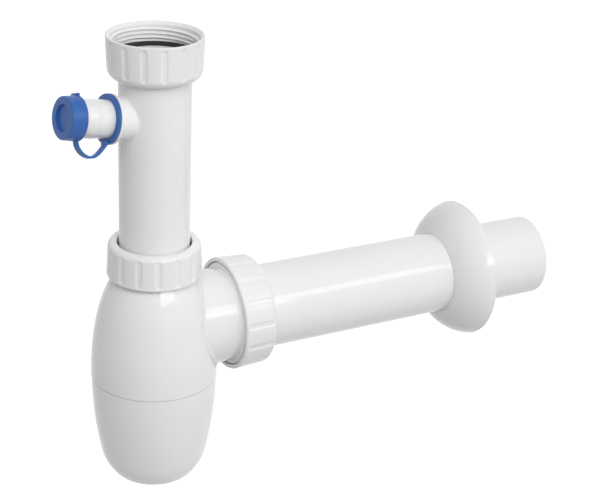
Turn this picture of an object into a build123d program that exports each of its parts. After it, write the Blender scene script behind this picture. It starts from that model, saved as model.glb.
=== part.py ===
from build123d import *
from math import atan2, cos, degrees, hypot, radians, sin
import os

# Kitchen bottle trap for a sink, in millimetres.
# +Z is the inlet axis, pointing up to the sink. +X is the outlet axis, pointing to the wall.
# The origin is on the inlet axis, on top of the black washer that seals against the sink waste.

# Levels of the main axes, measured from the washer's top face
outlet_z = -164.0
branch_z = -37.7
nut_rim_z = 10.5

# Pipes of standard size
inlet_r = 20.0
inlet_bore_r = 18.2
inlet_bottom_z = -152.0
outlet_r = 25.0
outlet_bore_r = 23.2
outlet_start_x = 38.5
outlet_end_x = 262.4

# Coupling nut for a G 1 1/2 sink waste
waste_thread_r = 24.0
nut_rim_r = 26.7
nut_foot_r = 25.9
nut_hole_r = 20.4
washer_t = 2.0
washer_bore_r = 18.5
flange_r = 23.3
flange_t = 2.6
seat_gap = 0.5
seat_r = 23.65

# Grip flutes that all three nuts carry
flute_count = 15
flute_w = 2.6
flute_depth = 0.5

# Appliance branch on the inlet pipe
branch_azimuth = 188.0
branch_tilt = 10.8
boss_r = 11.3
boss_fillet = 2.0
nozzle_bore_r = 8.0
nozzle_end = 54.0
collar_r = 13.7
collar_start = 27.5
collar_end = 29.1
root_r = 10.4
root_end = 38.9
waist_r = 10.1
barb_r = 10.6
barb_rise = 1.2
barb_spans = ((39.2, 46.4), (47.6, 53.6))

# Blue closure: cap, strap and tether ring
ring_r = 13.6
ring_bore_r = 10.75
ring_start = 29.3
ring_end = 31.0
cap_start = 48.3
cap_end = 57.0
cap_rear_r = 12.2
cap_front_r = 11.5
cap_bore_r = 10.9
cap_recess_r = 7.25
cap_recess = 1.5
strap_t = 1.2
strap_w = 5.4
strap_gap = 0.12
strap_top = 11.3
strap_low = 20.6

# Bottle: an egg-shaped body with a screwed cup, heights measured from the outlet axis
wall = 2.2
seam_h = -28.7
bottom_h = -93.8
body_r = 36.75
egg_centre_h = -26.0
flank_round = 166.0
flank_turn = 12.0
shoulder_round = 89.6
shoulder_turn = 17.2
neck_r = 23.7
neck_top_h = 47.5
neck_bore_r = 20.6
dip_tube_r = 22.4
dip_tube_end_h = -74.5
spigot_r = 33.2
spigot_bore_r = 31.0
spigot_end_h = -41.0
cup_r = 36.5
seal_groove_r = 35.5
seal_groove_depth = 2.7
seal_gap = 0.3
seal_section_r = 1.0

# The cup's outline turns inwards in three tangent arcs
side_turn = 12.0
corner_turn = 29.0
foot_turn = 90.0 - side_turn - corner_turn
corner_round = 29.9
foot_round = 6.4

# Side socket of the bottle, distances measured along the outlet axis
socket_r = 27.8
socket_fillet = 3.0
socket_thread_r = 30.5
socket_thread_x = 44.9
socket_end_x = 54.5
socket_bore_r = 25.6
socket_cone_x = 50.8
socket_mouth_r = 27.9
socket_ledge_x = 37.0
side_hole_r = 23.2

# Compression nuts, distances from the outlet axis up the neck, or from the inlet axis along the socket
neck_nut_size = dict(mouth=35.2, end=55.0, mouth_r=27.2, end_r=26.3, bore_r=24.4, hole_r=21.7, shelf=51.0)
outlet_nut_size = dict(mouth=43.7, end=64.3, mouth_r=33.5, end_r=32.4, bore_r=31.0, hole_r=26.7, shelf=58.4)

# Conical seals under those nuts
neck_seal_tip_h = 43.6
neck_seal_r = 22.9
outlet_seal_tip_x = 51.1
outlet_seal_r = 28.2
seal_bore_gap = 0.08

# Wall rosette
rosette_start_x = 190.8
rosette_end_x = 210.4
rosette_rim_r = 42.9
rosette_t = 1.6
rosette_bore_gap = 0.08


def axis_plane(origin, direction, radial):
    """Plane with local x along an axis and local y along a radius."""
    side = Vector(*direction).cross(Vector(*radial))
    return Plane(origin=origin, x_dir=direction, z_dir=side)


inlet_plane = axis_plane((0, 0, 0), (0, 0, 1), (1, 0, 0))
neck_plane = axis_plane((0, 0, outlet_z), (0, 0, 1), (1, 0, 0))
outlet_plane = axis_plane((0, 0, outlet_z), (1, 0, 0), (0, 0, 1))

turn = radians(branch_azimuth)
tilt = radians(branch_tilt)
branch_dir = (cos(turn) * cos(tilt), sin(turn) * cos(tilt), sin(tilt))
branch_up = (-cos(turn) * sin(tilt), -sin(turn) * sin(tilt), cos(tilt))
branch_plane = axis_plane((0, 0, branch_z), branch_dir, branch_up)


def along(plane):
    """The axis that runs along a plane's local x."""
    return Axis(plane.origin, plane.x_dir)


def ring_section(plane, points, mode=Mode.ADD):
    """Turn a straight-sided section, given as (distance along the axis, radius)."""
    with BuildSketch(plane) as section:
        with BuildLine():
            Polyline(*points, close=True)
        make_face()
    revolve(section.sketch, axis=along(plane), mode=mode)


def cut_flutes(plane, near, far, first_angle):
    """Cut round-ended grip flutes between two points (distance, outer radius) of a nut."""
    length = hypot(far[0] - near[0], far[1] - near[1])
    lean = degrees(atan2(far[1] - near[1], far[0] - near[0]))
    middle = ((near[0] + far[0]) / 2, (near[1] + far[1]) / 2 - flute_depth)
    for i in range(flute_count):
        turned = plane.rotated((first_angle + i * 360 / flute_count, 0, 0))
        outward = turned.y_dir
        floor = Plane(
            origin=turned.from_local_coords((*middle, 0)),
            x_dir=turned.x_dir,
            z_dir=outward,
        ).rotated((0, -lean, 0))
        with BuildSketch(floor) as flute:
            SlotOverall(length, flute_w)
        extrude(flute.sketch, amount=2, mode=Mode.SUBTRACT)


def compression_nut(plane, first_flute, mouth, end, mouth_r, end_r, bore_r, hole_r, shelf):
    """Nut with an open threaded mouth, and a rounded lip that holds the cone seal."""
    lip_round = 3.2
    edge = 0.8
    lead = 0.5
    hole_round = 0.9
    flute_start = mouth + 1.6
    flute_end = end - 2.4
    with BuildPart() as nut:
        with BuildSketch(plane):
            with BuildLine():
                skirt = Polyline(
                    (mouth, bore_r + lead),
                    (mouth, mouth_r - edge),
                    (mouth + edge, mouth_r),
                    (end - lip_round, end_r),
                )
                lip = JernArc(skirt @ 1, (1, 0), lip_round, -90)
                face = Line(lip @ 1, (end, hole_r + hole_round))
                hole = JernArc(face @ 1, (0, -1), hole_round, -90)
                Polyline(
                    hole @ 1,
                    (shelf, hole_r),
                    (shelf, bore_r),
                    (mouth + lead, bore_r),
                    skirt @ 0,
                )
            make_face()
        revolve(axis=along(plane))
        cut_flutes(plane, (flute_start, mouth_r), (flute_end, end_r), first_flute)
    return nut.part


def cone_seal(plane, pipe_r, tip, cone_r):
    """Conical rubber seal between a pipe, its socket and the nut's shelf."""
    bore = pipe_r + seal_bore_gap
    edge = 0.4
    shoulder = tip + 4.6
    back = tip + 7.1
    with BuildPart() as seal:
        ring_section(
            plane,
            [
                (tip, bore),
                (tip, bore + edge),
                (shoulder - edge, cone_r - edge),
                (shoulder, cone_r),
                (back, cone_r),
                (back, bore),
            ],
        )
    return seal.part


# Top coupling nut: threaded towards the sink, closed to a hole that holds the pipe's flange
with BuildPart() as top_nut:
    rim_edge = 0.4
    lead_in = 1.6
    flute_top_z = nut_rim_z - 1.8
    foot_z = nut_rim_z - 18.0
    cone_z = -washer_t - flange_t - seat_gap
    with BuildSketch(inlet_plane):
        with BuildLine():
            side = Polyline(
                (nut_rim_z, waste_thread_r + lead_in),
                (nut_rim_z, nut_rim_r - rim_edge),
                (nut_rim_z - rim_edge, nut_rim_r),
                (foot_z, nut_foot_r),
            )
            foot = JernArc(side @ 1, (-1, 0), nut_foot_r - nut_hole_r, 90)
            Polyline(
                foot @ 1,
                (cone_z + nut_hole_r - flange_r, nut_hole_r),
                (cone_z, flange_r),
                (cone_z, seat_r),
                (0, seat_r),
                (0, waste_thread_r),
                (nut_rim_z - lead_in, waste_thread_r),
                side @ 0,
            )
        make_face()
    revolve(axis=along(inlet_plane))
    cut_flutes(inlet_plane, (foot_z - 1.4, nut_foot_r), (flute_top_z, nut_rim_r), 210.0)

# Flat rubber washer that lies on the pipe's flange
with BuildPart() as top_washer:
    ring_section(
        inlet_plane,
        [(-washer_t, washer_bore_r), (-washer_t, flange_r), (0, flange_r), (0, washer_bore_r)],
    )

# Inlet pipe: flange, straight tube and the tilted branch with its stepped hose nozzle
with BuildPart() as inlet_pipe:
    flange_top = -washer_t
    flange_foot = flange_top - flange_t
    pipe_chamfer = 0.8
    ring_section(
        inlet_plane,
        [
            (flange_top, 0),
            (flange_top, flange_r),
            (flange_foot, flange_r),
            (flange_foot - flange_r + inlet_r, inlet_r),
            (inlet_bottom_z + pipe_chamfer, inlet_r),
            (inlet_bottom_z, inlet_r - pipe_chamfer),
            (inlet_bottom_z, 0),
        ],
    )
    barbs = []
    for start, finish in barb_spans:
        crest = start + barb_rise
        barbs += [(start, waist_r), (crest, barb_r), (crest + barb_rise, barb_r), (finish, waist_r)]
    ring_section(
        branch_plane,
        [
            (0, 0),
            (0, boss_r),
            (collar_start, boss_r),
            (collar_start, collar_r),
            (collar_end, collar_r),
            (collar_end, root_r),
            (root_end, root_r),
            *barbs,
            (nozzle_end, waist_r - 0.6),
            (nozzle_end, 0),
        ],
    )
    boss_foot = inlet_pipe.edges(Select.LAST).filter_by(GeomType.BSPLINE)
    fillet(boss_foot, radius=boss_fillet)
    with BuildSketch(Plane.XY.offset(inlet_bottom_z)):
        Circle(inlet_bore_r)
    extrude(amount=-inlet_bottom_z, mode=Mode.SUBTRACT)
    ring_section(
        branch_plane,
        [(0, 0), (0, nozzle_bore_r), (nozzle_end + 1, nozzle_bore_r), (nozzle_end + 1, 0)],
        Mode.SUBTRACT,
    )

# Tether ring of the closure, loose on the nozzle's root
with BuildPart() as closure_ring:
    ring_edge = 0.2
    ring_section(
        branch_plane,
        [
            (ring_start, ring_bore_r),
            (ring_start, ring_r - ring_edge),
            (ring_start + ring_edge, ring_r),
            (ring_end - ring_edge, ring_r),
            (ring_end, ring_r - ring_edge),
            (ring_end, ring_bore_r),
        ],
    )

# Cap of the closure: cup-shaped plug cover with a dished face and a lifting tab
with BuildPart() as closure_cap:
    cap_edge = 0.4
    cap_floor = cap_end - cap_recess
    cap_under = cap_floor - 1.0
    inner_edge = 0.6
    tab_start = cap_start + 1.8
    tab_end = tab_start + 1.6
    tab_w = 6.2
    tab_r = 13.8
    tab_root_r = 11.4
    ring_section(
        branch_plane,
        [
            (cap_start, cap_bore_r),
            (cap_start, cap_rear_r),
            (cap_end - cap_edge, cap_front_r),
            (cap_end, cap_front_r - cap_edge),
            (cap_end, cap_recess_r),
            (cap_floor, cap_recess_r),
            (cap_floor, 0),
            (cap_under, 0),
            (cap_under, cap_bore_r - inner_edge),
            (cap_under - inner_edge, cap_bore_r),
        ],
    )
    with BuildSketch(branch_plane.offset(-tab_w / 2)):
        with BuildLine():
            Polyline(
                (tab_start, tab_root_r),
                (tab_start, tab_r),
                (tab_end - cap_edge, tab_r),
                (tab_end, tab_root_r),
                close=True,
            )
        make_face()
    extrude(amount=tab_w)

# Flexible strap of the closure, a flat U below the nozzle
with BuildPart() as closure_strap:
    cap_side = cap_start - strap_gap - strap_t / 2
    ring_side = (ring_start + ring_end) / 2
    with BuildSketch(branch_plane.offset(-strap_w / 2)):
        with BuildLine():
            Spline(
                (cap_side, -strap_top),
                ((cap_side + ring_side) / 2, -strap_low),
                (ring_side, -ring_r - strap_gap),
                tangents=((0, -1), (0, 1)),
            )
        trace(line_width=strap_t)
    extrude(amount=strap_w)

# Bottle body: egg-shaped shell with threaded neck, side socket, cup spigot and inner dip tube
with BuildPart() as bottle_body:
    seam_z = outlet_z + seam_h
    egg_z = outlet_z + egg_centre_h
    neck_top_z = outlet_z + neck_top_h
    spigot_end_z = outlet_z + spigot_end_h
    chamber_r = body_r - wall
    edge = 0.6
    seam_edge = 0.2
    mouth_chamfer = 4.4
    mouth_r = neck_r - 0.8

    def egg_arcs(start, inset):
        """The two arcs from the widest level up to the neck, moved in by the wall."""
        flank = JernArc(start, (0, 1), flank_round - inset, flank_turn)
        return JernArc(flank @ 1, flank % 1, shoulder_round - inset, shoulder_turn)

    with BuildSketch(Plane.XZ):
        with BuildLine():
            spigot = Polyline(
                (0, spigot_end_z),
                (spigot_r - edge, spigot_end_z),
                (spigot_r, spigot_end_z + edge),
                (spigot_r, seam_z),
                (body_r - seam_edge, seam_z),
                (body_r, seam_z + seam_edge),
                (body_r, egg_z),
            )
            shoulder = egg_arcs((body_r, egg_z), 0)
            Polyline(
                shoulder @ 1,
                (neck_r, neck_top_z - edge),
                (neck_r - edge, neck_top_z),
                (0, neck_top_z),
                spigot @ 0,
            )
        make_face()
    revolve(axis=Axis.Z)
    ring_section(
        outlet_plane,
        [
            (0, 0),
            (0, socket_r),
            (socket_thread_x, socket_r),
            (socket_thread_x, socket_thread_r),
            (socket_end_x - edge, socket_thread_r),
            (socket_end_x, socket_thread_r - edge),
            (socket_end_x, 0),
        ],
    )
    socket_foot = bottle_body.edges(Select.LAST).filter_by(GeomType.BSPLINE)
    fillet(socket_foot, radius=socket_fillet)
    ring_section(
        outlet_plane,
        [
            (0, 0),
            (0, side_hole_r),
            (socket_ledge_x, side_hole_r),
            (socket_ledge_x, socket_bore_r),
            (socket_cone_x, socket_bore_r),
            (socket_end_x, socket_mouth_r),
            (socket_end_x, 0),
        ],
        Mode.SUBTRACT,
    )
    with BuildSketch(Plane.XZ):
        with BuildLine():
            skirt = Polyline(
                (0, spigot_end_z),
                (spigot_bore_r, spigot_end_z),
                (spigot_bore_r, seam_z - seam_edge),
                (chamber_r, egg_z),
            )
            vault = egg_arcs((chamber_r, egg_z), wall)
            Polyline(vault @ 1, (0, (vault @ 1).Y), skirt @ 0)
        make_face()
    revolve(axis=Axis.Z, mode=Mode.SUBTRACT)
    with BuildSketch(Plane.XY.offset(outlet_z + dip_tube_end_h)):
        Circle(dip_tube_r)
    extrude(amount=neck_top_h - mouth_chamfer - dip_tube_end_h)
    ring_section(
        neck_plane,
        [
            (dip_tube_end_h, 0),
            (dip_tube_end_h, neck_bore_r),
            (neck_top_h - mouth_chamfer, neck_bore_r),
            (neck_top_h, mouth_r),
            (neck_top_h, 0),
        ],
        Mode.SUBTRACT,
    )

# Cup of the bottle, turned inside and outside in three tangent arcs
with BuildPart() as bottle_cup:
    rim_z = outlet_z + seam_h - seal_gap
    cup_foot_z = outlet_z + bottom_h
    steep = sin(radians(side_turn))
    bend = sin(radians(side_turn + corner_turn))
    lower = corner_round * (bend - steep) + foot_round * (1 - bend)
    side_round = (rim_z - cup_foot_z - lower) / steep

    def cup_arcs(start, inset):
        """The three arcs from the rim down to the flat foot, moved in by the wall."""
        side = JernArc(start, (0, -1), side_round - inset, -side_turn)
        corner = JernArc(side @ 1, side % 1, corner_round - inset, -corner_turn)
        return JernArc(corner @ 1, corner % 1, foot_round - inset, -foot_turn)

    with BuildSketch(Plane.XZ):
        with BuildLine():
            Line((0, rim_z), (cup_r, rim_z))
            foot = cup_arcs((cup_r, rim_z), 0)
            Line(foot @ 1, (0, cup_foot_z))
            Line((0, cup_foot_z), (0, rim_z))
        make_face()
    revolve(axis=Axis.Z)
    with BuildSketch(Plane.XZ):
        with BuildLine():
            Line((0, rim_z), (cup_r - wall, rim_z))
            inner_foot = cup_arcs((cup_r - wall, rim_z), wall)
            Line(inner_foot @ 1, (0, cup_foot_z + wall))
            Line((0, cup_foot_z + wall), (0, rim_z))
        make_face()
    revolve(axis=Axis.Z, mode=Mode.SUBTRACT)
    with BuildSketch(Plane.XY.offset(rim_z)):
        Circle(seal_groove_r)
    extrude(amount=-seal_groove_depth, mode=Mode.SUBTRACT)

# Rubber ring between the spigot and the cup's groove
with BuildPart() as cup_seal:
    seal_r = (spigot_r + seal_groove_r - 0.1) / 2
    seal_z = rim_z - seal_groove_depth + seal_section_r + 0.2
    with BuildSketch(Plane.XZ):
        with Locations((seal_r, seal_z)):
            Circle(seal_section_r)
    revolve(axis=Axis.Z)

# Outlet pipe: plain straight tube with chamfered ends
with BuildPart() as outlet_pipe:
    far_edge = 0.4
    ring_section(
        outlet_plane,
        [
            (outlet_start_x, outlet_bore_r),
            (outlet_start_x, outlet_r - pipe_chamfer),
            (outlet_start_x + pipe_chamfer, outlet_r),
            (outlet_end_x - far_edge, outlet_r),
            (outlet_end_x, outlet_r - far_edge),
            (outlet_end_x, outlet_bore_r),
        ],
    )

# Wall rosette: thin dome with a short collar that hugs the pipe
with BuildPart() as wall_rosette:
    collar_bore_r = outlet_r + rosette_bore_gap
    collar_w = 3.0
    crown = (197.2, 37.3)
    inner_crown = (crown[0] + rosette_t * sin(radians(45)), crown[1] - rosette_t * cos(radians(45)))
    with BuildSketch(outlet_plane):
        with BuildLine():
            dome = ThreePointArc(
                (rosette_start_x, collar_bore_r + rosette_t / 4),
                crown,
                (rosette_end_x, rosette_rim_r),
            )
            rim = Line(dome @ 1, (rosette_end_x, rosette_rim_r - rosette_t))
            back = ThreePointArc(
                rim @ 1,
                inner_crown,
                (rosette_start_x + collar_w, collar_bore_r + rosette_t),
            )
            Polyline(
                back @ 1,
                (rosette_start_x + collar_w, collar_bore_r),
                (rosette_start_x, collar_bore_r),
                dome @ 0,
            )
        make_face()
    revolve(axis=along(outlet_plane))

pieces = {
    "top_nut": top_nut.part,
    "top_washer": top_washer.part,
    "inlet_pipe": inlet_pipe.part,
    "closure_ring": closure_ring.part,
    "closure_cap": closure_cap.part,
    "closure_strap": closure_strap.part,
    "neck_nut": compression_nut(neck_plane, 204.0, **neck_nut_size),
    "neck_seal": cone_seal(neck_plane, inlet_r, neck_seal_tip_h, neck_seal_r),
    "bottle_body": bottle_body.part,
    "bottle_cup": bottle_cup.part,
    "cup_seal": cup_seal.part,
    "outlet_nut": compression_nut(outlet_plane, 9.0, **outlet_nut_size),
    "outlet_seal": cone_seal(outlet_plane, outlet_r, outlet_seal_tip_x, outlet_seal_r),
    "outlet_pipe": outlet_pipe.part,
    "wall_rosette": wall_rosette.part,
}

os.makedirs("parts", exist_ok=True)
for name, piece in pieces.items():
    piece.label = name
    export_step(piece, f"parts/{name}.step")
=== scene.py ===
from math import acos, ceil, cos, inf, pi, radians, sin, tan

import bpy
import numpy as np
from mathutils import Matrix, Vector


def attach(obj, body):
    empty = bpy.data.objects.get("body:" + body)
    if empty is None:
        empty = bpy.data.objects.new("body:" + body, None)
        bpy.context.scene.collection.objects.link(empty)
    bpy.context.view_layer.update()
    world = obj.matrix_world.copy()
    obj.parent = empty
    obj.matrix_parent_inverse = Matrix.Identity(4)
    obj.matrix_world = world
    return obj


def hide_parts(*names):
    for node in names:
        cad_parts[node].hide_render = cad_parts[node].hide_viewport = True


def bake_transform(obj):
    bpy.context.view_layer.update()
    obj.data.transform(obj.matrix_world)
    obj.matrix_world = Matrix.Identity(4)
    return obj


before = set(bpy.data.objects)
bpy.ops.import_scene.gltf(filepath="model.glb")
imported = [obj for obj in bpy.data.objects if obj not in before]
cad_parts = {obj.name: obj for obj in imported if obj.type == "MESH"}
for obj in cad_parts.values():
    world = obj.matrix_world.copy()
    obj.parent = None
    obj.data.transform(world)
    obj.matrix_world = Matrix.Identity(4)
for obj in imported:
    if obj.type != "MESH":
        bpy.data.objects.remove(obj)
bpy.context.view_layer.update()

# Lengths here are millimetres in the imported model's frame: +Z up the inlet pipe, +X along the outlet pipe,
# and the origin on the inlet axis at the top washer's face.
MM = 0.001

INLET_R = 20.0
OUTLET_Z = -164.0
BRANCH_Z = -37.7
BRANCH_AZIMUTH = radians(188.0)
BRANCH_TILT = radians(10.8)
CLOSURE_TURN = radians(20)


# Axes of the pipes, the branch and the closure


class Turning:
    """An axis that takes points given as distance along it, radius and angle."""

    def __init__(self, origin, along, radial):
        self.origin = np.array(origin, float)
        self.along = np.array(along, float)
        self.radial = np.array(radial, float)
        self.side = np.cross(self.along, self.radial)

    def points(self, distance, radius, angle):
        """Points as an array of three columns, from arrays that broadcast together."""
        distance, radius, angle = np.broadcast_arrays(distance, radius, angle)
        spokes = np.cos(angle)[..., None] * self.radial + np.sin(angle)[..., None] * self.side
        found = self.origin + distance[..., None] * self.along + radius[..., None] * spokes
        return found.reshape(-1, 3)


inlet_axis = Turning((0, 0, 0), (0, 0, 1), (1, 0, 0))
neck_axis = Turning((0, 0, OUTLET_Z), (0, 0, 1), (1, 0, 0))
outlet_axis = Turning((0, 0, OUTLET_Z), (1, 0, 0), (0, 0, 1))
branch_dir = (
    cos(BRANCH_AZIMUTH) * cos(BRANCH_TILT),
    sin(BRANCH_AZIMUTH) * cos(BRANCH_TILT),
    sin(BRANCH_TILT),
)
branch_up = (
    -cos(BRANCH_AZIMUTH) * sin(BRANCH_TILT),
    -sin(BRANCH_AZIMUTH) * sin(BRANCH_TILT),
    cos(BRANCH_TILT),
)
branch_axis = Turning((0, 0, BRANCH_Z), branch_dir, branch_up)
closure_up = cos(CLOSURE_TURN) * branch_axis.radial + sin(CLOSURE_TURN) * branch_axis.side
closure_axis = Turning((0, 0, BRANCH_Z), branch_dir, closure_up)


# Materials

NOISE_RANGE = (0.3, 0.7)
CLOUD_SCALE = 28.0
CLOUD_DETAIL = 3.0
GLOSS_SCALE = 75.0
GLOSS_DETAIL = 4.0
GRAIN_DETAIL = 2.0
GRAIN_DEPTH = 0.04
PLASTIC_IOR = 1.5


def add_node(tree, kind, **inputs):
    """A shader node with the named inputs set, or linked where the value is a socket."""
    node = tree.nodes.new(kind)
    for name, value in inputs.items():
        socket = node.inputs[name.replace("_", " ")]
        if isinstance(value, bpy.types.NodeSocket):
            tree.links.new(value, socket)
        else:
            socket.default_value = value
    return node


def noise(tree, place, scale, detail):
    """Factor socket of a noise texture."""
    texture = add_node(tree, "ShaderNodeTexNoise", Vector=place, Scale=scale, Detail=detail)
    return texture.outputs["Fac"]


def mapped(tree, value, low, high):
    """The value, spread from the noise's usual range to low and high."""
    spread = add_node(
        tree,
        "ShaderNodeMapRange",
        Value=value,
        From_Min=NOISE_RANGE[0],
        From_Max=NOISE_RANGE[1],
        To_Min=low,
        To_Max=high,
    )
    return spread.outputs["Result"]


def plastic(name, tints, roughness, grain_scale, grain):
    """Moulded plastic: clouded between two tints and two roughnesses, with a fine surface grain."""
    material = bpy.data.materials.new(name)
    material.use_nodes = True
    tree = material.node_tree
    tree.nodes.clear()
    place = tree.nodes.new("ShaderNodeTexCoord").outputs["Object"]
    clouds = mapped(tree, noise(tree, place, CLOUD_SCALE, CLOUD_DETAIL), 0.0, 1.0)
    tint = tree.nodes.new("ShaderNodeMix")
    tint.data_type = "RGBA"
    tree.links.new(clouds, tint.inputs["Factor"])
    tint.inputs["A"].default_value = (*tints[0], 1.0)
    tint.inputs["B"].default_value = (*tints[1], 1.0)
    gloss = mapped(tree, noise(tree, place, GLOSS_SCALE, GLOSS_DETAIL), *roughness)
    height = noise(tree, place, grain_scale, GRAIN_DETAIL)
    bump = add_node(tree, "ShaderNodeBump", Strength=grain, Distance=GRAIN_DEPTH * MM, Height=height)
    shader = add_node(
        tree,
        "ShaderNodeBsdfPrincipled",
        Base_Color=tint.outputs["Result"],
        Roughness=gloss,
        Normal=bump.outputs["Normal"],
        IOR=PLASTIC_IOR,
    )
    output = tree.nodes.new("ShaderNodeOutputMaterial")
    tree.links.new(shader.outputs["BSDF"], output.inputs["Surface"])
    return material


WHITES = ((0.86, 0.86, 0.86), (0.84, 0.84, 0.84))
BLUES = ((0.021, 0.120, 0.42), (0.017, 0.104, 0.37))
BLACKS = ((0.018, 0.018, 0.019), (0.010, 0.010, 0.010))

FINISHES = {
    "white_gloss": plastic("glossy_white", WHITES, (0.012, 0.025), 900.0, 0.004),
    "white_satin": plastic("satin_white", WHITES, (0.19, 0.25), 1500.0, 0.12),
    "blue_plastic": plastic("satin_blue", BLUES, (0.36, 0.44), 1800.0, 0.25),
    "black_rubber": plastic("dull_black", BLACKS, (0.55, 0.68), 2400.0, 0.45),
}


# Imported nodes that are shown

NODE_SLOTS = {
    "bottle_body": "white_gloss",
    "bottle_cup": "white_gloss",
    "outlet_pipe": "white_gloss",
    "inlet_pipe": "white_satin",
    "closure_ring": "blue_plastic",
    "neck_seal": "black_rubber",
    "outlet_seal": "black_rubber",
    "cup_seal": "black_rubber",
}
NODE_SHARP_ANGLE = radians(24)
WELD_GAP = 0.002


def smoothing(angle):
    """Geometry nodes that weld a node's faces and shade them smooth, except at edges sharper than angle."""
    group = bpy.data.node_groups.new("smooth_by_angle", "GeometryNodeTree")
    group.interface.new_socket("Geometry", in_out="INPUT", socket_type="NodeSocketGeometry")
    group.interface.new_socket("Geometry", in_out="OUTPUT", socket_type="NodeSocketGeometry")
    start = group.nodes.new("NodeGroupInput").outputs["Geometry"]
    end = group.nodes.new("NodeGroupOutput")
    bend = group.nodes.new("GeometryNodeInputMeshEdgeAngle")
    sharp = group.nodes.new("FunctionNodeCompare")
    sharp.operation = "GREATER_THAN"
    group.links.new(bend.outputs["Unsigned Angle"], sharp.inputs["A"])
    sharp.inputs["B"].default_value = angle
    weld = add_node(group, "GeometryNodeMergeByDistance", Geometry=start, Distance=WELD_GAP * MM)
    faces = add_node(
        group,
        "GeometryNodeSetShadeSmooth",
        Geometry=weld.outputs["Geometry"],
        Shade_Smooth=True,
    )
    edges = add_node(
        group,
        "GeometryNodeSetShadeSmooth",
        Geometry=faces.outputs["Geometry"],
        Selection=sharp.outputs["Result"],
        Shade_Smooth=False,
    )
    edges.domain = "EDGE"
    group.links.new(edges.outputs["Geometry"], end.inputs["Geometry"])
    return group


smooth_by_angle = smoothing(NODE_SHARP_ANGLE)
for node_name, node_slot in NODE_SLOTS.items():
    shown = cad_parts[node_name]
    shown.data.materials.clear()
    shown.data.materials.append(FINISHES[node_slot])
    shown.modifiers.new("smooth", "NODES").node_group = smooth_by_angle
    weighted = shown.modifiers.new("weighted", "WEIGHTED_NORMAL")
    weighted.keep_sharp = True


# Mesh helpers

PIECE_SHARP_ANGLE = radians(30)
ARC_STEP = radians(11)


def add_piece(name, points, faces, material):
    """A mesh object from points in millimetres and faces, with its normals outwards."""
    points = np.asarray(points, float) * MM
    first = points[[f[0] for f in faces]]
    second = points[[f[1] for f in faces]]
    third = points[[f[2] for f in faces]]
    volume = np.einsum("ij,ij->i", first, np.cross(second, third)).sum()
    if volume < 0:
        faces = [f[::-1] for f in faces]
    mesh = bpy.data.meshes.new(name)
    mesh.from_pydata(points.tolist(), [], faces)
    mesh.shade_smooth()
    mesh.set_sharp_from_angle(angle=PIECE_SHARP_ANGLE)
    mesh.materials.append(material)
    piece = bpy.data.objects.new(name, mesh)
    bpy.context.scene.collection.objects.link(piece)
    return piece


def grid_faces(rows, columns, close_rows, close_columns):
    """Quads between neighbouring points of a grid, which may close on itself either way."""
    faces = []
    for i in range(rows if close_rows else rows - 1):
        below = i * columns
        above = (i + 1) % rows * columns
        for j in range(columns if close_columns else columns - 1):
            k = (j + 1) % columns
            faces.append((below + j, above + j, above + k, below + k))
    return faces


def end_faces(count, ring):
    """The two faces that close a tube of count points at its first and last ring."""
    return [tuple(range(ring)), tuple(reversed(range(count - ring, count)))]


def full_turn(columns):
    """Angles of a turned form's columns, evenly spread, as one row."""
    return np.linspace(0, 2 * pi, columns, endpoint=False)[None, :]


def smooth_step(value):
    """Eased 0 to 1 of a value that is cut to that range."""
    value = np.clip(value, 0, 1)
    return value * value * (3 - 2 * value)


def rounded_outline(corners):
    """Closed outline through corners (distance, radius, rounding), each rounding an arc."""
    outline = []
    for i, (distance, radius, rounding) in enumerate(corners):
        here = np.array((distance, radius))
        if rounding == 0:
            outline.append(here)
            continue
        before = np.array(corners[i - 1][:2]) - here
        after = np.array(corners[(i + 1) % len(corners)][:2]) - here
        before /= np.linalg.norm(before)
        after /= np.linalg.norm(after)
        half = acos(np.clip(before @ after, -1, 1)) / 2
        middle = before + after
        centre = here + middle / np.linalg.norm(middle) * rounding / sin(half)
        start = here + before * rounding / tan(half) - centre
        end = here + after * rounding / tan(half) - centre
        turn = pi - 2 * half
        steps = max(3, ceil(turn / ARC_STEP))
        for k in range(steps + 1):
            share = k / steps
            blend = (start * sin((1 - share) * turn) + end * sin(share * turn)) / sin(turn)
            outline.append(centre + blend)
    return outline


def divided(outline, steps):
    """The outline with its long runs divided: steps gives the longest run for each radius range."""
    found = []
    for i, here in enumerate(outline):
        after = outline[(i + 1) % len(outline)]
        radius = (here[1] + after[1]) / 2
        longest = next((step for low, high, step in steps if low <= radius <= high), inf)
        parts = max(1, ceil(np.linalg.norm(after - here) / longest))
        found += [here + (after - here) * k / parts for k in range(parts)]
    return np.array(found)


def make_ring(name, axis, corners, columns, material, body):
    """A turned ring from the corners of its section."""
    outline = np.array(rounded_outline(corners))
    points = axis.points(outline[:, :1], outline[:, 1:], full_turn(columns))
    ring = add_piece(name, points, grid_faces(len(outline), columns, True, True), FINISHES[material])
    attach(ring, body)
    return ring


# Nuts: turned, with grip flutes outside and a thread inside

FLUTE_COUNT = 15
FLUTE_SECTOR = 2 * pi / FLUTE_COUNT
FLUTE_WIDTH = 2.9
FLUTE_DEPTH = 0.5
FLUTE_WALL = 0.6
FLUTE_COLUMNS = 15
LAND_COLUMNS = 6
SKIRT_STEP = 0.3
THREAD_STEP = 0.22
ON_BORE = 0.02


def flute_columns(first_angle, radius):
    """Angles of a nut's columns, close together over each flute."""
    half = (FLUTE_WIDTH / 2 + FLUTE_WALL) / radius
    dense = np.linspace(-half, half, FLUTE_COLUMNS)
    land = np.linspace(half, FLUTE_SECTOR - half, LAND_COLUMNS + 2)[1:-1]
    offsets = np.concatenate((dense, land))
    starts = first_angle + FLUTE_SECTOR * np.arange(FLUTE_COUNT)
    return (starts[:, None] + offsets).ravel()


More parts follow.
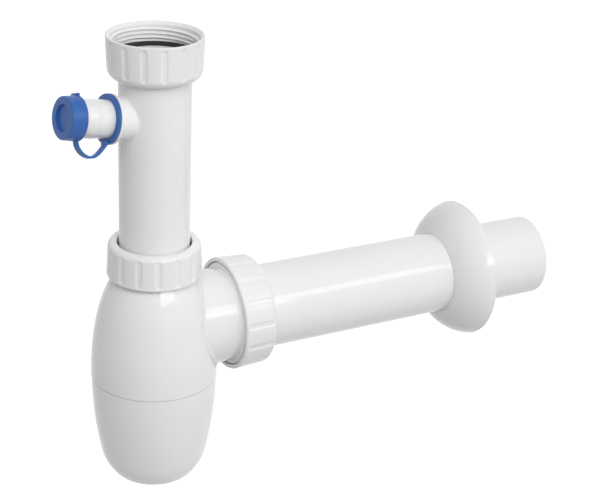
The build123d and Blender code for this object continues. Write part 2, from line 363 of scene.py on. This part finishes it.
def flute_depths(distance, radius, angle, flutes):
    """How deep the round-ended flutes are at each point of a nut's skin."""
    offset = (angle - flutes["first"] + FLUTE_SECTOR / 2) % FLUTE_SECTOR - FLUTE_SECTOR / 2
    across = offset * radius
    half = FLUTE_WIDTH / 2
    beyond = distance - np.clip(distance, flutes["start"] + half, flutes["end"] - half)
    inside = half - np.hypot(across, beyond)
    return FLUTE_DEPTH * smooth_step(0.5 + inside / (2 * FLUTE_WALL))


def thread_heights(distance, angle, thread):
    """How high an internal thread's ridge stands at each point of its wall."""
    turns = (distance - thread["crest"]) / thread["pitch"] - angle / (2 * pi)
    phase = np.abs(turns - np.round(turns)) * 2
    flank = smooth_step((thread["share"] + thread["flank"] - phase) / (2 * thread["flank"]))
    rise = smooth_step((distance - thread["start"]) / thread["fade"])
    fall = smooth_step((thread["end"] - distance) / thread["fade"])
    return thread["height"] * flank * rise * fall


def make_nut(name, axis, corners, flutes, thread, body):
    """A turned nut with flutes pressed into its skin and a thread on its bore."""
    bore = thread["radius"]
    steps = ((bore - ON_BORE, bore + ON_BORE, THREAD_STEP), (flutes["skin"], inf, SKIRT_STEP))
    outline = divided(rounded_outline(corners), steps)
    angle = flute_columns(flutes["first"], outline[:, 1].max())[None, :]
    distance, radius = outline[:, :1], outline[:, 1:]
    depth = np.where(radius > flutes["skin"], flute_depths(distance, radius, angle, flutes), 0)
    height = np.where(np.abs(radius - bore) < ON_BORE, thread_heights(distance, angle, thread), 0)
    points = axis.points(distance, radius - depth - height, angle)
    faces = grid_faces(len(outline), angle.size, True, True)
    nut = add_piece(name, points, faces, FINISHES["white_satin"])
    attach(nut, body)
    return nut


# Flutes: angle of the first, their ends along the axis, and the radius outside which the skin has them.
# Threads: share is the part of the pitch that the ridge takes at half its height, flank what each flank
# takes, crest the place of one crest, and fade how far the ridge takes to rise and fall at its ends.
TOP_FLUTES = dict(first=radians(210), start=-8.9, end=8.7, skin=25.3)
TOP_BORE_R = 24.0
TOP_BORE_END = 8.9
TOP_THREAD = dict(
    radius=TOP_BORE_R,
    pitch=2.309,
    height=1.45,
    share=0.30,
    flank=0.42,
    crest=6.11,
    start=-0.5,
    end=8.1,
    fade=1.2,
)
TOP_MOUTH = 10.5
TOP_MOUTH_R = 26.7
TOP_MOUTH_HOLE_R = 25.55
TOP_MOUTH_ROUNDS = (0.25, 0.4)
TOP_SHOULDER = -7.5
TOP_SHOULDER_ROUND = 5.5
TOP_SHOULDER_STEP = 6
TOP_SKIRT_R = 25.9
TOP_HOLE_R = 20.4
TOP_SEAT = -8.0
TOP_LEDGE = -5.1
TOP_LEDGE_R = 23.3
TOP_WASHER_R = 23.65

NECK_PITCH = 3.5
NECK_BORE_R = 24.4
NECK_FLUTES = dict(first=radians(204), start=36.8, end=52.6, skin=25.4)
NECK_THREAD = dict(
    radius=NECK_BORE_R,
    pitch=NECK_PITCH,
    height=0.3,
    share=0.35,
    flank=0.25,
    crest=37.0,
    start=36.2,
    end=50.0,
    fade=1.0,
)

OUTLET_PITCH = 4.0
OUTLET_BORE_R = 31.0
OUTLET_FLUTES = dict(first=radians(9), start=45.3, end=61.9, skin=31.8)
OUTLET_THREAD = dict(
    radius=OUTLET_BORE_R,
    pitch=OUTLET_PITCH,
    height=0.2,
    share=0.35,
    flank=0.25,
    crest=46.6,
    start=45.4,
    end=57.6,
    fade=1.0,
)

LIP_INSET = 0.5
LIP_HEIGHT = 0.7
LIP_ROUNDS = (0.15, 0.35, 0.4)
END_ROUND = 3.1
HOLE_ROUND = 0.85


def top_nut_corners():
    """Outline of the top nut: mouth, skirt, rounded shoulder, and back along hole, ledge and bore."""
    shoulder = []
    for degrees in range(TOP_SHOULDER_STEP, 90, TOP_SHOULDER_STEP):
        distance = TOP_SHOULDER - TOP_SHOULDER_ROUND * sin(radians(degrees))
        radius = TOP_HOLE_R + TOP_SHOULDER_ROUND * cos(radians(degrees))
        shoulder.append((distance, radius, 0))
    return [
        (TOP_MOUTH, TOP_MOUTH_HOLE_R, TOP_MOUTH_ROUNDS[0]),
        (TOP_MOUTH, TOP_MOUTH_R, TOP_MOUTH_ROUNDS[1]),
        (TOP_SHOULDER, TOP_SKIRT_R, 0),
        *shoulder,
        (TOP_SHOULDER - TOP_SHOULDER_ROUND, TOP_HOLE_R, 0),
        (TOP_SEAT, TOP_HOLE_R, 0),
        (TOP_LEDGE, TOP_LEDGE_R, 0),
        (TOP_LEDGE, TOP_WASHER_R, 0),
        (0.0, TOP_WASHER_R, 0),
        (0.0, TOP_BORE_R, 0),
        (TOP_BORE_END, TOP_BORE_R, 0),
    ]


def compression_corners(mouth, end, mouth_r, end_r, bore_r, hole_r, shelf):
    """Outline of a compression nut, from its mouth round the lip and back along the bore."""
    return [
        (mouth, bore_r + LIP_INSET, LIP_ROUNDS[0]),
        (mouth, mouth_r - LIP_INSET, LIP_ROUNDS[1]),
        (mouth + LIP_HEIGHT, mouth_r, LIP_ROUNDS[2]),
        (end, end_r, END_ROUND),
        (end, hole_r, HOLE_ROUND),
        (shelf, hole_r, 0),
        (shelf, bore_r, 0),
        (mouth + LIP_INSET, bore_r, 0),
    ]


neck_corners = compression_corners(
    mouth=35.2, end=55.0, mouth_r=27.2, end_r=26.3, bore_r=NECK_BORE_R, hole_r=21.1, shelf=51.0
)
outlet_corners = compression_corners(
    mouth=43.7, end=64.3, mouth_r=33.5, end_r=32.4, bore_r=OUTLET_BORE_R, hole_r=26.7, shelf=58.4
)

top_nut = make_nut("top_nut_shown", inlet_axis, top_nut_corners(), TOP_FLUTES, TOP_THREAD, "sink_nut")
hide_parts("top_nut")
neck_nut = make_nut("neck_nut_shown", neck_axis, neck_corners, NECK_FLUTES, NECK_THREAD, "neck_nut")
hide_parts("neck_nut")
outlet_nut = make_nut(
    "outlet_nut_shown", outlet_axis, outlet_corners, OUTLET_FLUTES, OUTLET_THREAD, "outlet_nut"
)
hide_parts("outlet_nut")


# Thread ridges on the bottle and in the cup

RIDGE_STEP = radians(3)
RIDGE_TAPER = radians(50)
RIDGE_SUNK = 0.1
# Across the ridge in shares of its width, and its height there
RIDGE_SECTION = ((-0.5, 0), (-0.28, 0.8), (-0.2, 1), (0.2, 1), (0.28, 0.8), (0.5, 0))
CUP_PITCH = 3.5
SPIGOT_PHASE = radians(200)
CUP_PHASE = radians(305)


def make_thread(name, axis, radius, span, pitch, height, width, phase, body):
    """A helical ridge, outwards for a height above 0 and inwards below it, tapered at both ends."""
    turns = (span[1] - span[0]) / pitch
    count = ceil(turns * 2 * pi / RIDGE_STEP)
    angle = np.linspace(0, turns * 2 * pi, count)
    ease = smooth_step(np.minimum(angle, angle[-1] - angle) / RIDGE_TAPER)
    sunk = -RIDGE_SUNK if height > 0 else RIDGE_SUNK
    across = np.array([s[0] for s in RIDGE_SECTION]) * width
    out = np.array([s[1] for s in RIDGE_SECTION]) * height
    distance = span[0] + angle[:, None] / (2 * pi) * pitch + across
    radii = radius + sunk + out[None, :] * ease[:, None]
    points = axis.points(distance, radii, angle[:, None] + phase)
    faces = grid_faces(count, len(RIDGE_SECTION), False, True)
    faces += end_faces(len(points), len(RIDGE_SECTION))
    ridge = add_piece(name, points, faces, FINISHES["white_gloss"])
    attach(ridge, body)


# In order: radius that the ridge stands on, span along the axis, pitch, height, width, starting angle
make_thread("socket_thread", outlet_axis, 30.5, (46.2, 53.0), OUTLET_PITCH, 0.2, 1.7, radians(40), "bottle")
make_thread("neck_thread", neck_axis, 23.7, (36.6, 45.6), NECK_PITCH, 0.3, 1.5, radians(90), "bottle")
make_thread("spigot_thread", neck_axis, 33.2, (-40.0, -32.6), CUP_PITCH, 0.75, 1.4, SPIGOT_PHASE, "bottle")
make_thread("cup_thread", neck_axis, 34.2, (-40.75, -33.35), CUP_PITCH, -0.75, 1.3, CUP_PHASE, "cup")


# Closure: cap, lug of the ring and strap, turned about the branch

CORNER_STEPS = 4
CORNER_SIDES = ((1, 1), (-1, 1), (-1, -1), (1, -1))
BLOCK_BEVEL = 0.2

# Corners of the cap's section: distance along the branch, radius, rounding
CAP_PROFILE = (
    (55.5, 0.5, 0),
    (55.5, 7.25, 0.25),
    (57.0, 7.25, 0.2),
    (57.0, 11.5, 0.45),
    (48.3, 12.2, 0.25),
    (48.3, 10.9, 0.2),
    (54.5, 10.9, 0.6),
    (54.5, 0.5, 0),
)
CAP_COLUMNS = 128
TAB_SPAN = (48.3, 49.6)
TAB_HEIGHTS = (11.2, 13.2)
TAB_WIDTH = 7.4

LUG_SPAN = (30.6, 32.9)
LUG_HEIGHTS = (-13.85, -11.35)
LUG_WIDTH = 5.0

STRAP_WIDTH = 4.4
STRAP_THICK = 1.3
STRAP_CORNER = 0.3
# Centre line of the strap from the cap to the ring, as (distance along the branch, height over it)
STRAP_LINE = (
    (49.5, -11.9),
    (49.35, -13.2),
    (48.85, -14.9),
    (47.45, -17.2),
    (45.5, -18.95),
    (43.5, -20.0),
    (41.4, -20.4),
    (38.95, -20.0),
    (36.3, -18.3),
    (33.7, -15.7),
    (31.9, -13.6),
)
STRAP_STEPS = 6


def rounded_rectangle(width, height, corner):
    """Outline of a rounded rectangle round the origin."""
    found = []
    for k, (sx, sy) in enumerate(CORNER_SIDES):
        for step in range(CORNER_STEPS + 1):
            angle = radians(90) * (k + step / CORNER_STEPS)
            x = sx * (width / 2 - corner) + corner * cos(angle)
            y = sy * (height / 2 - corner) + corner * sin(angle)
            found.append((x, y))
    return np.array(found)


def closure_point(distance, height, across):
    """A point of the turned closure, from its distance along the branch, height and offset to the side."""
    over = closure_axis.origin + closure_axis.along * distance + closure_axis.radial * height
    return over + closure_axis.side * across


def block(span, heights, width):
    """Points and faces of a block with bevelled ends, upright on the closure's axis."""
    middle = (span[0] + span[1]) / 2
    thick = span[1] - span[0]
    low, high = heights
    levels = ((low, BLOCK_BEVEL), (low + BLOCK_BEVEL, 0), (high - BLOCK_BEVEL, 0), (high, BLOCK_BEVEL))
    points = []
    for height, inset in levels:
        for along, across in rounded_rectangle(thick - 2 * inset, width - 2 * inset, BLOCK_BEVEL):
            points.append(closure_point(middle + along, height, across))
    ring = len(points) // len(levels)
    return points, grid_faces(len(levels), ring, False, True) + end_faces(len(points), ring)


def cap_shape():
    """Points and faces of the cap with the tab on its rim."""
    outline = np.array(rounded_outline(CAP_PROFILE))
    points = list(closure_axis.points(outline[:, :1], outline[:, 1:], full_turn(CAP_COLUMNS)))
    faces = grid_faces(len(outline), CAP_COLUMNS, False, True)
    faces += end_faces(len(points), CAP_COLUMNS)
    tab_points, tab_faces = block(TAB_SPAN, TAB_HEIGHTS, TAB_WIDTH)
    faces += [tuple(len(points) + i for i in face) for face in tab_faces]
    return points + tab_points, faces


def smooth_line(knots, steps):
    """Points and unit directions of a smooth curve through the knots."""
    knots = np.array(knots, float)
    ways = np.gradient(knots, axis=0)
    line, leads = [], []
    for i in range(len(knots) - 1):
        for k in range(steps + (i == len(knots) - 2)):
            t = k / steps
            line.append(
                (2 * t**3 - 3 * t**2 + 1) * knots[i]
                + (t**3 - 2 * t**2 + t) * ways[i]
                + (3 * t**2 - 2 * t**3) * knots[i + 1]
                + (t**3 - t**2) * ways[i + 1]
            )
            lead = (
                (6 * t**2 - 6 * t) * knots[i]
                + (3 * t**2 - 4 * t + 1) * ways[i]
                + (6 * t - 6 * t**2) * knots[i + 1]
                + (3 * t**2 - 2 * t) * ways[i + 1]
            )
            leads.append(lead / np.linalg.norm(lead))
    return line, leads


def strap_shape():
    """Points and faces of the flat strap, its section carried square along the centre line."""
    section = rounded_rectangle(STRAP_THICK, STRAP_WIDTH, STRAP_CORNER)
    points = []
    for (distance, height), (lead_s, lead_h) in zip(*smooth_line(STRAP_LINE, STRAP_STEPS)):
        for out, across in section:
            points.append(closure_point(distance - lead_h * out, height + lead_s * out, across))
    faces = grid_faces(len(points) // len(section), len(section), False, True)
    return points, faces + end_faces(len(points), len(section))


cap = add_piece("cap_shown", *cap_shape(), FINISHES["blue_plastic"])
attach(cap, "cap")
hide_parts("closure_cap")

lug = add_piece("ring_lug", *block(LUG_SPAN, LUG_HEIGHTS, LUG_WIDTH), FINISHES["blue_plastic"])
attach(lug, "tether")

strap = add_piece("strap_shown", *strap_shape(), FINISHES["blue_plastic"])
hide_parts("closure_strap")
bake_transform(strap)


# Washer in the top nut and collar inside the outlet nut's mouth

WASHER_CORNERS = ((-2.0, 20.4, 0.2), (-2.0, 23.3, 0.2), (0.0, 23.3, 0.3), (0.0, 20.4, 0.3))
WASHER_COLUMNS = 128
COLLAR_CORNERS = ((43.85, 27.6, 0), (43.85, 29.9, 0.45), (45.2, 29.9, 0.1), (45.2, 27.6, 0))
COLLAR_COLUMNS = 160

washer = make_ring("washer_shown", inlet_axis, WASHER_CORNERS, WASHER_COLUMNS, "black_rubber", "inlet")
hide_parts("top_washer")
make_ring("socket_collar", outlet_axis, COLLAR_CORNERS, COLLAR_COLUMNS, "white_gloss", "bottle")


# Rosette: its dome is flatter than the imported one's

ROSETTE_BORE_R = 25.08
ROSETTE_FRONT = 190.8
ROSETTE_INSIDE = 193.8
ROSETTE_RIM = (210.4, 42.9)
ROSETTE_COLUMNS = 192
# The dome's two faces: start and end as (distance, radius), how far the face bows out, points along it
DOME_FRONT = ((ROSETTE_FRONT, 25.5), (210.2, 42.8), 3.3, 20)
DOME_BACK = ((ROSETTE_INSIDE, 26.9), (210.4, 41.3), 2.9, 16)


def bowed(start, end, sagitta, count):
    """Corners on an arc from start to end that bows out by the sagitta, to the left of its way."""
    start, end = np.array(start), np.array(end)
    chord = end - start
    length = np.linalg.norm(chord)
    normal = np.array((-chord[1], chord[0])) / length
    radius = sagitta / 2 + length**2 / (8 * sagitta)
    centre = (start + end) / 2 + normal * (sagitta - radius)
    half = np.arcsin(length / 2 / radius)
    found = []
    for turn in np.linspace(-half, half, count):
        found.append((*(centre + radius * (normal * cos(turn) + chord / length * sin(turn))), 0))
    return found


rosette_corners = [
    (ROSETTE_FRONT, ROSETTE_BORE_R, 0),
    *bowed(*DOME_FRONT),
    (*ROSETTE_RIM, 0),
    *reversed(bowed(*DOME_BACK)),
    (ROSETTE_INSIDE, ROSETTE_BORE_R, 0),
]
rosette = make_ring(
    "rosette_shown", outlet_axis, rosette_corners, ROSETTE_COLUMNS, "white_gloss", "rosette"
)
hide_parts("wall_rosette")


# Gate mark on the inlet pipe

MARK_AZIMUTH = radians(-79)
MARK_Z = -40.9
# Rings from its middle outwards: radius, and height over the pipe
MARK_RINGS = ((0.0, -0.03), (1.7, 0.02), (2.0, 0.05), (2.15, 0.11), (2.3, 0.05), (2.5, -0.05))
MARK_COLUMNS = 48

mark_points = []
for ring_r, lift in MARK_RINGS:
    for k in range(MARK_COLUMNS):
        angle = 2 * pi * k / MARK_COLUMNS
        azimuth = MARK_AZIMUTH + ring_r * cos(angle) / INLET_R
        reach = INLET_R + lift
        mark_points.append((reach * cos(azimuth), reach * sin(azimuth), MARK_Z + ring_r * sin(angle)))
mark_faces = grid_faces(len(MARK_RINGS), MARK_COLUMNS, False, True)
mark = add_piece("gate_mark", mark_points, mark_faces, FINISHES["white_satin"])
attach(mark, "inlet")


# Floor and surroundings

FLOOR_Z = -450.0
FLOOR_HALF = 9000.0
FLOOR_GLOW = 0.86
FLOOR_SHADE = 0.32
FLOOR_BOUNCE = 0.46
WORLD_LIGHT = 0.435


def seen_directly(tree):
    """1 for rays from the camera, from gloss and through clear surfaces, and 0 for all others."""
    path = tree.nodes.new("ShaderNodeLightPath")
    either = add_node(tree, "ShaderNodeMath")
    either.operation = "MAXIMUM"
    tree.links.new(path.outputs["Is Camera Ray"], either.inputs[0])
    tree.links.new(path.outputs["Is Glossy Ray"], either.inputs[1])
    any_of = add_node(tree, "ShaderNodeMath")
    any_of.operation = "MAXIMUM"
    tree.links.new(either.outputs["Value"], any_of.inputs[0])
    tree.links.new(path.outputs["Is Transmission Ray"], any_of.inputs[1])
    return any_of.outputs["Value"]


def floor_finish():
    """Bright where it is seen, with the object's shadow on it, and pale grey where it only lights."""
    material = bpy.data.materials.new("studio_floor")
    material.use_nodes = True
    tree = material.node_tree
    tree.nodes.clear()
    glow = add_node(tree, "ShaderNodeEmission", Color=(1, 1, 1, 1), Strength=FLOOR_GLOW)
    shade = add_node(tree, "ShaderNodeBsdfDiffuse", Color=(FLOOR_SHADE, FLOOR_SHADE, FLOOR_SHADE, 1))
    lit = tree.nodes.new("ShaderNodeAddShader")
    tree.links.new(glow.outputs[0], lit.inputs[0])
    tree.links.new(shade.outputs[0], lit.inputs[1])
    plain = add_node(tree, "ShaderNodeBsdfDiffuse", Color=(FLOOR_BOUNCE, FLOOR_BOUNCE, FLOOR_BOUNCE, 1))
    choice = tree.nodes.new("ShaderNodeMixShader")
    tree.links.new(seen_directly(tree), choice.inputs[0])
    tree.links.new(plain.outputs[0], choice.inputs[1])
    tree.links.new(lit.outputs[0], choice.inputs[2])
    output = tree.nodes.new("ShaderNodeOutputMaterial")
    tree.links.new(choice.outputs[0], output.inputs["Surface"])
    return material


def white_world():
    """A world that is white where it is seen and gives only WORLD_LIGHT to the object."""
    world = bpy.data.worlds.new("studio")
    world.use_nodes = True
    tree = world.node_tree
    tree.nodes.clear()
    strength = add_node(
        tree, "ShaderNodeMapRange", Value=seen_directly(tree), To_Min=WORLD_LIGHT, To_Max=1.0
    )
    sky = add_node(tree, "ShaderNodeBackground", Color=(1, 1, 1, 1), Strength=strength.outputs["Result"])
    output = tree.nodes.new("ShaderNodeOutputWorld")
    tree.links.new(sky.outputs[0], output.inputs["Surface"])
    return world


floor_sides = ((-1, -1), (1, -1), (1, 1), (-1, 1))
floor_corners = [(x * FLOOR_HALF, y * FLOOR_HALF, FLOOR_Z) for x, y in floor_sides]
floor = add_piece("studio_floor", floor_corners, [(0, 1, 2, 3)], floor_finish())
bpy.context.scene.world = white_world()


# Lamps

WINDOW_AIM = (60, 0, -140)
LAMP_AIM = (60, 0, -120)
SOFTBOX = (900, 900)
# Name, place, aim, size, watts, and whether gloss mirrors it
LAMPS = (
    ("window", (491, -1406, 888), WINDOW_AIM, (1404, 440), 4.6, True),
    ("low_window", (325, -1583, 643), WINDOW_AIM, (1126, 312), 3.4, True),
    ("key", (1300, -900, 150), LAMP_AIM, SOFTBOX, 3.1, False),
    ("fill", (-400, -1200, 1300), LAMP_AIM, SOFTBOX, 12.2, False),
    ("rear", (900, 1500, 500), LAMP_AIM, SOFTBOX, 7.0, False),
)


def add_lamp(name, place, aim, size, watts, mirrored):
    """A rectangular softbox at place that faces aim."""
    data = bpy.data.lights.new(name, "AREA")
    data.shape = "RECTANGLE"
    data.size = size[0] * MM
    data.size_y = size[1] * MM
    data.energy = watts
    lamp = bpy.data.objects.new(name, data)
    lamp.location = Vector(place) * MM
    lamp.rotation_euler = (Vector(place) - Vector(aim)).to_track_quat("Z", "Y").to_euler()
    lamp.visible_camera = False
    lamp.visible_glossy = mirrored
    bpy.context.scene.collection.objects.link(lamp)


for lamp_row in LAMPS:
    add_lamp(*lamp_row)


# Camera: the photograph's, fitted to the pipes' outlines. At azimuth 0 it would look along +Y.

CAMERA_PLACE = Vector((-302.65, -707.73, 234.77))
CAMERA_AZIMUTH = radians(-29.2725)
CAMERA_ELEVATION = radians(24.3098)
CAMERA_ROLL = radians(2.7334)
CAMERA_LENS = 89.42
CAMERA_SENSOR = 36

camera_data = bpy.data.cameras.new("photo_camera")
camera_data.sensor_width = CAMERA_SENSOR
camera_data.lens = CAMERA_LENS
camera = bpy.data.objects.new("photo_camera", camera_data)
camera.matrix_world = (
    Matrix.Translation(CAMERA_PLACE * MM)
    @ Matrix.Rotation(CAMERA_AZIMUTH, 4, "Z")
    @ Matrix.Rotation(pi / 2 - CAMERA_ELEVATION, 4, "X")
    @ Matrix.Rotation(CAMERA_ROLL, 4, "Z")
)
bpy.context.scene.collection.objects.link(camera)
bpy.context.scene.camera = camera
bpy.context.scene.view_settings.view_transform = "Standard"
